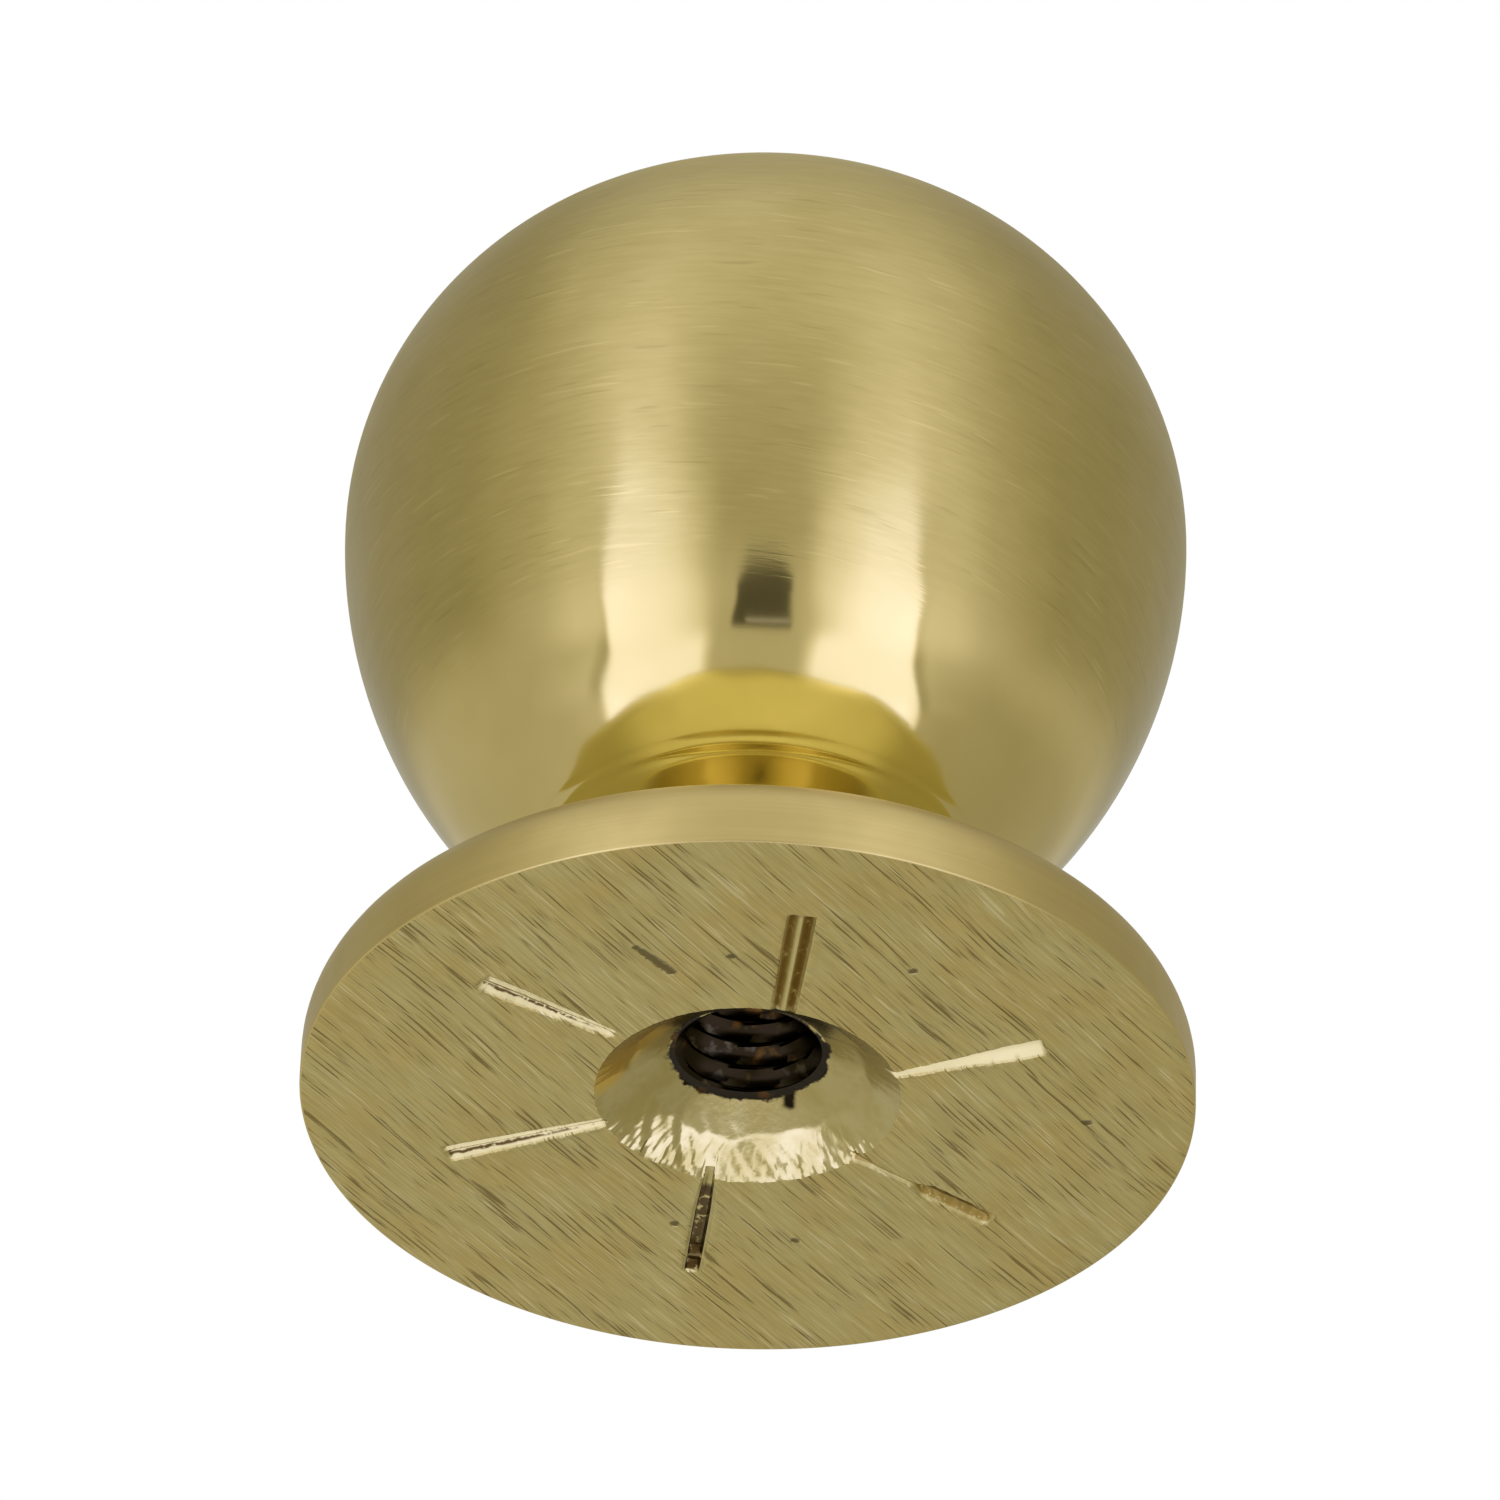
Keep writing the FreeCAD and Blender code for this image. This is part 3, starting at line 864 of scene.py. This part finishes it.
def makeBallMaterial():
    look = ballLook
    material, tree, shader = startMaterial("ballBrass")
    lines = useGroup(tree, turnedLines, CentreLevel=ballLevel, Reach=outline["ballRadius"], **look["lines"])
    latitude = lines["Latitude"]
    tone = driftingTone(tree, look, 1.0)
    streak = blendColour(tree, lines["Streaks"], look["darkLine"], look["lightLine"])
    streak = blendColour(tree, lines["Dark"], streak, look["darkStroke"])
    streak = blendColour(tree, lines["Light"], streak, look["lightStroke"])
    # painted sheen: the polished underside gets a lighter, bluer colour
    streak = blendColour(tree, ramp(tree, latitude, *look["gainSpan"]), streak, look["paintedSheenGain"])
    colour = blendColour(tree, 1.0, tone["Color"], streak, "MULTIPLY")
    brushed = ramp(tree, latitude, *look["roughSpan"], *look["roughness"], "LINEAR")
    roughness = multiply(tree, brushed, tone["Roughness"])
    strokes = multiply(tree, subtract(tree, lines["Light"], lines["Dark"]), look["strokeShare"])
    height = add(tree, lines["Height"], strokes)
    height = multiply(tree, height, ramp(tree, latitude, *look["lineSpan"], *look["lineShares"]))
    waves = noise(tree, inMillimetres(tree), 1.0, 0.4, look["waveScale"])
    height = add(tree, height, multiply(tree, waves, look["waveDepth"] / look["lineDepth"]))
    setSurface(tree, shader, colour, roughness, height, look["lineDepth"])
    brushRound(tree, shader, look["anisotropy"])
    return material


rimLook = {
    "first": (0.520, 0.412, 0.158, 1),
    "second": (0.470, 0.368, 0.138, 1),
    "driftScale": 0.25,
    "darkLine": (0.96, 0.955, 0.94, 1),
    "lightLine": (1.03, 1.03, 1.04, 1),
    "lines": {"Length": 5.0, "Density": 14.0},
    "roughness": 0.36,
    "lineDepth": 0.003,
    "anisotropy": 0.6,
}


def makeRimMaterial():
    look, o = rimLook, outline
    material, tree, shader = startMaterial("rimBrass")
    lines = useGroup(tree, turnedLines, CentreRadius=o["flangeRadius"] - o["frontRound"],
                     CentreLevel=o["backRound"] + o["sideHeight"], Reach=o["frontRound"], **look["lines"])
    tone = driftingTone(tree, look, look["roughness"])
    streak = blendColour(tree, lines["Streaks"], look["darkLine"], look["lightLine"])
    colour = blendColour(tree, 1.0, tone["Color"], streak, "MULTIPLY")
    setSurface(tree, shader, colour, tone["Roughness"], lines["Height"], look["lineDepth"])
    brushRound(tree, shader, look["anisotropy"])
    return material


frontLook = {
    "first": (0.98, 0.89, 0.40, 1),
    "second": (0.94, 0.85, 0.36, 1),
    "driftScale": 0.3,
    "lines": {"CentreLevel": 1.0, "Reach": 4.0, "Length": 9.0, "Density": 8.0},
    "roughness": 0.13,
    "lineDepth": 0.0015,
}


def makeFrontMaterial():
    look = frontLook
    material, tree, shader = startMaterial("frontBrass")
    coveCentre = outline["coveRadius"] + outline["neckRadius"]
    lines = useGroup(tree, turnedLines, CentreRadius=coveCentre, **look["lines"])
    tone = driftingTone(tree, look, look["roughness"])
    setSurface(tree, shader, tone["Color"], tone["Roughness"], lines["Height"], look["lineDepth"])
    return material


# The back face. A scratch is its two ends and its width, a pit its middle and its width. cutDepth and stainDepth
# are how deep in a cut the bare brass begins, and the stains and the darker deep creases.
backLook = {
    "first": (0.431, 0.372, 0.155, 1),
    "second": (0.439, 0.342, 0.121, 1),
    "driftScale": 0.35,
    "strokes": {"Heading": math.radians(78.8), "Length": 2.3, "Density": 13.0, "Seed": 4.0},
    "broadShare": 0.45,
    "grainSpan": (0.35, 0.65),
    "grainDark": (0.90, 0.89, 0.85, 1),
    "grainLight": (1.08, 1.08, 1.09, 1),
    "darkStroke": (0.19, 0.135, 0.036, 1),
    "darkShare": 0.95,
    "lightStroke": (0.58, 0.50, 0.26, 1),
    "lightShare": 0.8,
    "freshCut": (0.51, 0.435, 0.187, 1),
    "cutDepth": (0.01, 0.05),
    "cutDirt": (0.30, 0.205, 0.05, 1),
    # darker colour along the deepest creases of the cuts
    "creaseDark": (0.085, 0.05, 0.013, 1),
    "stainDepth": (0.03, 0.1),
    "stainLevel": 0.12,
    "speckleScale": 5.0,
    "speckleSpan": (0.29, 0.42),
    "roughness": 0.36,
    "strokeDepth": 0.012,
    "strokeInCut": 0.15,
    "dentDirt": (0.095, 0.068, 0.016, 1),
    "dentShare": 0.85,
    "dentDepth": 4.0,
    "scratches": [((0.087, -7.12, 0), (0.3, -6.5, 0), 0.13), ((0.28, -6.55, 0), (0.488, -5.87, 0), 0.19)],
    "pits": [((2.12, -5.93, 0), 0.16), ((6.0, -3.78, 0), 0.15), ((7.55, 3.78, 0), 0.17),
             ((-1.25, 6.03, 0), 0.16), ((-3.8, 4.25, 0), 0.16)],
}


def makeBackMaterial():
    look = backLook
    material, tree, shader = startMaterial("backBrass")
    strokes = useGroup(tree, sandedStrokes, **look["strokes"])
    tone = driftingTone(tree, look, look["roughness"])
    broadShare = multiply(tree, strokes["Broad"], look["broadShare"])
    broad = blendColour(tree, broadShare, tone["Color"], look["second"])
    grain = ramp(tree, strokes["Grain"], *look["grainSpan"])
    grain = blendColour(tree, grain, look["grainDark"], look["grainLight"])
    colour = blendColour(tree, 1.0, broad, grain, "MULTIPLY")
    lightShare = multiply(tree, strokes["Light"], look["lightShare"])
    colour = blendColour(tree, lightShare, colour, look["lightStroke"])
    darkShare = multiply(tree, strokes["Dark"], look["darkShare"])
    colour = blendColour(tree, darkShare, colour, look["darkStroke"])
    dents = None
    for first, last, width in look["scratches"] + [(p, p, w) for p, w in look["pits"]]:
        mask = nickMask(tree, first, last, width)
        dents = mask if dents is None else calc(tree, "MAXIMUM", dents, mask)
    colour = blendColour(tree, multiply(tree, dents, look["dentShare"]), colour, look["dentDirt"])
    depth = addNode(tree, "SeparateXYZ", {0: inMillimetres(tree)}).outputs[2]
    colour = blendColour(tree, ramp(tree, depth, *look["cutDepth"]), colour, look["freshCut"])
    speckle = noise(tree, inMillimetres(tree), 2.0, 0.6, look["speckleScale"])
    speckle = ramp(tree, speckle, *look["speckleSpan"])
    deep = ramp(tree, depth, *look["stainDepth"])
    # Stains along the cuts, and a darker colour along their deepest creases, laid only deeper than stainDepth
    for spoke in spokes:
        outward = levelDirection(spoke["azimuth"])
        leftward = Vector((-outward.y, outward.x, 0))
        for start, end, stain, across, width in spoke["stains"]:
            middle = leftward * (spoke["offset"] + across) + Vector((0, 0, look["stainLevel"]))
            stainAndCreaseShare = nickMask(tree, middle + outward * start, middle + outward * end, width)
            stainAndCreaseShare = multiply(tree, multiply(tree, stainAndCreaseShare, speckle), deep)
            colour = blendColour(tree, stainAndCreaseShare, colour, look[stain])
    height = subtract(tree, strokes["Height"], multiply(tree, dents, look["dentDepth"]))
    height = multiply(tree, height, ramp(tree, depth, *look["cutDepth"], 1.0, look["strokeInCut"]))
    setSurface(tree, shader, colour, tone["Roughness"], height, look["strokeDepth"])
    return material


mouthLook = {
    "first": (0.46, 0.39, 0.175, 1),
    "second": (0.40, 0.325, 0.12, 1),
    "driftScale": 0.9,
    "roughness": 0.2,
    "lines": {"CentreLevel": -2.0, "Reach": 4.0, "Length": 1.2, "Density": 2.5},
    "chatterDepth": 0.012,
    "oil": {"Edge": 2.01, "Ragged": 0.5},
    "drip": ((0.43, 1.58, 1.26), (0.28, 1.90, 1.14), 0.24),
    "stainColour": (0.56, 0.37, 0.05, 1),
    "stain": ((-2.85, -2.2, 0.2), (-1.02, -2.92, 0.6), 1.1),
}


def makeMouthMaterial():
    look = mouthLook
    material, tree, shader = startMaterial("mouthBrass")
    shift = levelDirection(hole["offCentreAzimuth"]) * hole["offCentre"]
    lines = useGroup(tree, turnedLines, **look["lines"])
    tone = driftingTone(tree, look, look["roughness"])
    oil = useGroup(tree, oldOil, ShiftX=shift.x, ShiftY=shift.y, **look["oil"])
    colour = blendColour(tree, nickMask(tree, *look["stain"]), tone["Color"], look["stainColour"])
    oily = calc(tree, "MAXIMUM", oil["Mask"], nickMask(tree, *look["drip"]))
    colour = blendColour(tree, oily, colour, oil["Color"])
    setSurface(tree, shader, colour, tone["Roughness"], lines["Height"], look["chatterDepth"])
    return material


# In the bore, the bare patches among the oil get a near-black colour: painted shade of the deep hole.
boreLook = {
    "bareInShade": (0.05, 0.040, 0.022, 1),
    "bareScale": 1.6,
    "bareSpan": (0.56, 0.68),
    "roughness": 0.2,
}


def makeBoreMaterial():
    look = boreLook
    material, tree, shader = startMaterial("boreBrass")
    oil = useGroup(tree, oldOil)
    bare = ramp(tree, noise(tree, inMillimetres(tree), 3.0, 0.6, look["bareScale"]), *look["bareSpan"])
    # painted shade: the bare brass in the hole is near-black
    setInput(tree, shader.inputs["Base Color"], blendColour(tree, bare, oil["Color"], look["bareInShade"]))
    shader.inputs["Roughness"].default_value = look["roughness"]
    return material


for maker in (makeBoreMaterial, makeMouthMaterial, makeBackMaterial,
              makeRimMaterial, makeFrontMaterial, makeBallMaterial):
    knobMesh.materials.append(maker())
print("brass finishes ready")

# Studio light by direction, in degrees to the side of the photo's camera and above it. A step is the span above
# over which it takes over from the step nearer the middle, and its level, or its levels by degrees to the side.
studio = {
    "steps": [
        ((-58.0, -65.0), 0.885),
        ((-44.0, -51.0), 0.69),
        ((-28.5, -33.5), [(0, 2.4), (38, 2.4), (44, 2.2), (46, 0.9), (54, 0.78), (90, 0.72), (130, 0.72),
                          (180, 0.74)]),
        ((-8.0, -18.0), [(0, 0.81), (11, 0.82), (13, 1.05), (17, 1.95), (21, 2.0), (44, 2.12), (45.6, 0.6),
                         (47, 0.66), (50, 0.98), (58, 0.86), (72, 0.72), (100, 0.74), (130, 0.72), (180, 0.68)]),
        (None, [(0, 0.78), (10, 0.8), (13, 0.92), (18, 1.4), (24, 1.8), (31, 2.1), (40, 2.26), (44.3, 2.3),
                (45.8, 1.0), (48, 1.2), (56, 1.16), (66, 0.88), (90, 0.58), (110, 0.54), (140, 0.5), (165, 0.48),
                (180, 0.5)]),
        ((15.0, 38.0), [(0, 0.78), (17, 0.80), (24, 1.06), (32, 1.42), (46, 1.58), (58, 1.15), (75, 0.82),
                        (90, 0.64), (110, 0.54), (145, 0.5), (180, 0.5)]),
        ((37.0, 57.0), [(0, 0.9), (20, 0.95), (36, 1.24), (50, 1.5), (68, 1.33), (90, 1.02), (112, 0.94),
                        (150, 1.04), (180, 1.06)]),
        ((56.0, 72.0), 1.18),
    ],
    "scale": 3.0,
    "edgeSide": (22.0, 42.0),
    "innerShift": 1.3,
    "flareAbove": (-15.0, -42.0),
    "flare": 11.0,
    "cornerSide": (44.0, 56.0),
    "cornerAbove": (-12.0, -28.0),
    "dimCorner": 0.22,
    "lensSide": -0.3,
    "lensAbove": -1.7,
    "lensTall": 9.9,
    "lensWide": (-9.0, 1.0, 8.6, 7.3),
    "lensCrown": (3.0, 9.0, 1.0, 0.5),
    "lensEdges": (1.5, 1.8),
    "lensTone": 0.12,
    "slitSide": 1.7,
    "slitWide": (6.0, 4.8),
    "slitAbove": -8.1,
    "slitTall": (0.42, 0.0),
    "slitTone": 2.2,
    "highlightSpan": (1.0, 2.4),
    "highlightTint": (0.885, 0.925, 1.5, 1),
    "shadowSpan": (0.95, 0.6),
    "shadowTint": (1.03, 1.0, 0.84, 1),
    "mapSize": 1024,
}


def sideProfile(tree, position, pairs):
    node = tree.nodes.new("ShaderNodeValToRGB")
    setInput(tree, node.inputs[0], position)
    band = node.color_ramp
    while len(band.elements) < len(pairs):
        band.elements.new(0.5)
    for element, (degrees, level) in zip(band.elements, pairs):
        element.position = degrees / 180
    for element, (degrees, level) in zip(band.elements, pairs):
        share = level / studio["scale"]
        element.color = (share, share, share, 1)
    return multiply(tree, node.outputs[0], studio["scale"])


# Two tall soft lights stand left and right of the camera. Below, they spread outward and their inner edges shift.
def softLights(tree, side, above):
    s = studio
    away = calc(tree, "ABSOLUTE", side)
    inward = ramp(tree, away, *s["edgeSide"], s["innerShift"], 0.0)
    wider = multiply(tree, ramp(tree, above, *s["flareAbove"], 0.0, s["flare"]), ramp(tree, away, *s["edgeSide"]))
    away = subtract(tree, calc(tree, "ABSOLUTE", add(tree, side, inward)), wider)
    away = calc(tree, "DIVIDE", calc(tree, "MAXIMUM", away, 0.0), 180.0)
    middle = [span for span, level in s["steps"]].index(None)
    light = sideProfile(tree, away, s["steps"][middle][1])
    for span, level in s["steps"][middle + 1:] + s["steps"][:middle][::-1]:
        profile = sideProfile(tree, away, level) if isinstance(level, list) else level
        light = blendLevel(tree, ramp(tree, above, *span), light, profile)
    corner = multiply(tree, ramp(tree, side, *s["cornerSide"]), ramp(tree, above, *s["cornerAbove"]))
    return multiply(tree, light, subtract(tree, 1.0, multiply(tree, corner, s["dimCorner"])))


# The dark shape that the camera and its stand make in the reflections, with one bright line across it
def withLens(tree, side, above, light):
    s = studio

    def offFrom(value, middle):
        return calc(tree, "ABSOLUTE", subtract(tree, value, middle))

    sideEdge, tallEdge = s["lensEdges"]
    wide = multiply(tree, ramp(tree, above, *s["lensWide"]), ramp(tree, above, *s["lensCrown"]))
    lens = ramp(tree, subtract(tree, offFrom(side, s["lensSide"]), wide), 0.0, -sideEdge)
    tall = ramp(tree, offFrom(above, s["lensAbove"]), s["lensTall"], s["lensTall"] - tallEdge)
    light = blendLevel(tree, multiply(tree, lens, tall), light, s["lensTone"])
    slit = multiply(tree, ramp(tree, offFrom(above, s["slitAbove"]), *s["slitTall"]),
                    ramp(tree, offFrom(side, s["slitSide"]), *s["slitWide"]))
    return blendLevel(tree, slit, light, s["slitTone"])


def makeStudio():
    s = studio
    world = bpy.data.worlds.new("studio")
    bpy.context.scene.world = world
    world.use_nodes = True
    world.cycles.sampling_method = "MANUAL"
    world.cycles.sample_map_resolution = s["mapSize"]
    tree = world.node_tree
    towards = addNode(tree, "TexCoord").outputs["Generated"]
    parts = [vectorCalc(tree, "DOT_PRODUCT", towards, axis) for axis in (sideways, upInPicture, toCamera)]
    side = calc(tree, "DEGREES", calc(tree, "ARCTAN2", parts[0], parts[2]))
    above = calc(tree, "DEGREES", calc(tree, "ARCSINE", parts[1]))
    light = withLens(tree, side, above, softLights(tree, side, above))
    white = (1, 1, 1, 1)
    highlight = ramp(tree, light, *s["highlightSpan"], kind="LINEAR")
    shadow = ramp(tree, light, *s["shadowSpan"], kind="LINEAR")
    tint = blendColour(tree, highlight, white, s["highlightTint"])
    tint = blendColour(tree, shadow, tint, s["shadowTint"])
    glossy = addNode(tree, "LightPath").outputs["Is Glossy Ray"]
    background = tree.nodes["Background"]
    setInput(tree, background.inputs["Color"], blendColour(tree, glossy, white, scaled(tree, tint, light)))
    background.inputs["Strength"].default_value = 1.0


makeStudio()
print("studio light ready")

# The floor under the back face. It shows only from above, so that it doesn't hide the back face from below.
floorLook = {
    "colour": (0.86, 0.86, 0.85, 1),
    "innerRadius": 10.5,
    "outerRadius": 1500.0,
    "drop": 0.06,
    "sides": 96,
}


def makeFloor():
    f, n = floorLook, floorLook["sides"]
    turn = np.linspace(0, 2 * math.pi, n, endpoint=False)
    circle = np.column_stack((np.cos(turn), np.sin(turn)))
    flat = np.concatenate((circle * f["innerRadius"], circle * f["outerRadius"]))
    points = np.column_stack((flat, np.full(len(flat), -f["drop"]))) * mm
    faces = [(i, i + n, (i + 1) % n + n, (i + 1) % n) for i in range(n)]
    mesh = bpy.data.meshes.new("floor")
    mesh.from_pydata(points.tolist(), [], faces)
    floor = bpy.data.objects.new("floor", mesh)
    bpy.context.scene.collection.objects.link(floor)
    floor.visible_glossy = False
    floor.visible_diffuse = False
    floor.visible_shadow = False
    material = bpy.data.materials.new("paleFloor")
    material.use_nodes = True
    tree = material.node_tree
    shader = tree.nodes["Principled BSDF"]
    shader.inputs["Base Color"].default_value = f["colour"]
    shader.inputs["Roughness"].default_value = 1.0
    shader.inputs["Specular IOR Level"].default_value = 0.0
    clear = addNode(tree, "BsdfTransparent")
    fromBelow = addNode(tree, "NewGeometry").outputs["Backfacing"]
    mix = addNode(tree, "MixShader", {0: fromBelow, 1: shader.outputs[0], 2: clear.outputs[0]})
    tree.links.new(mix.outputs[0], tree.nodes["Material Output"].inputs["Surface"])
    mesh.materials.append(material)


makeFloor()
print("floor ready")
bpy.context.scene.view_settings.view_transform = "Standard"
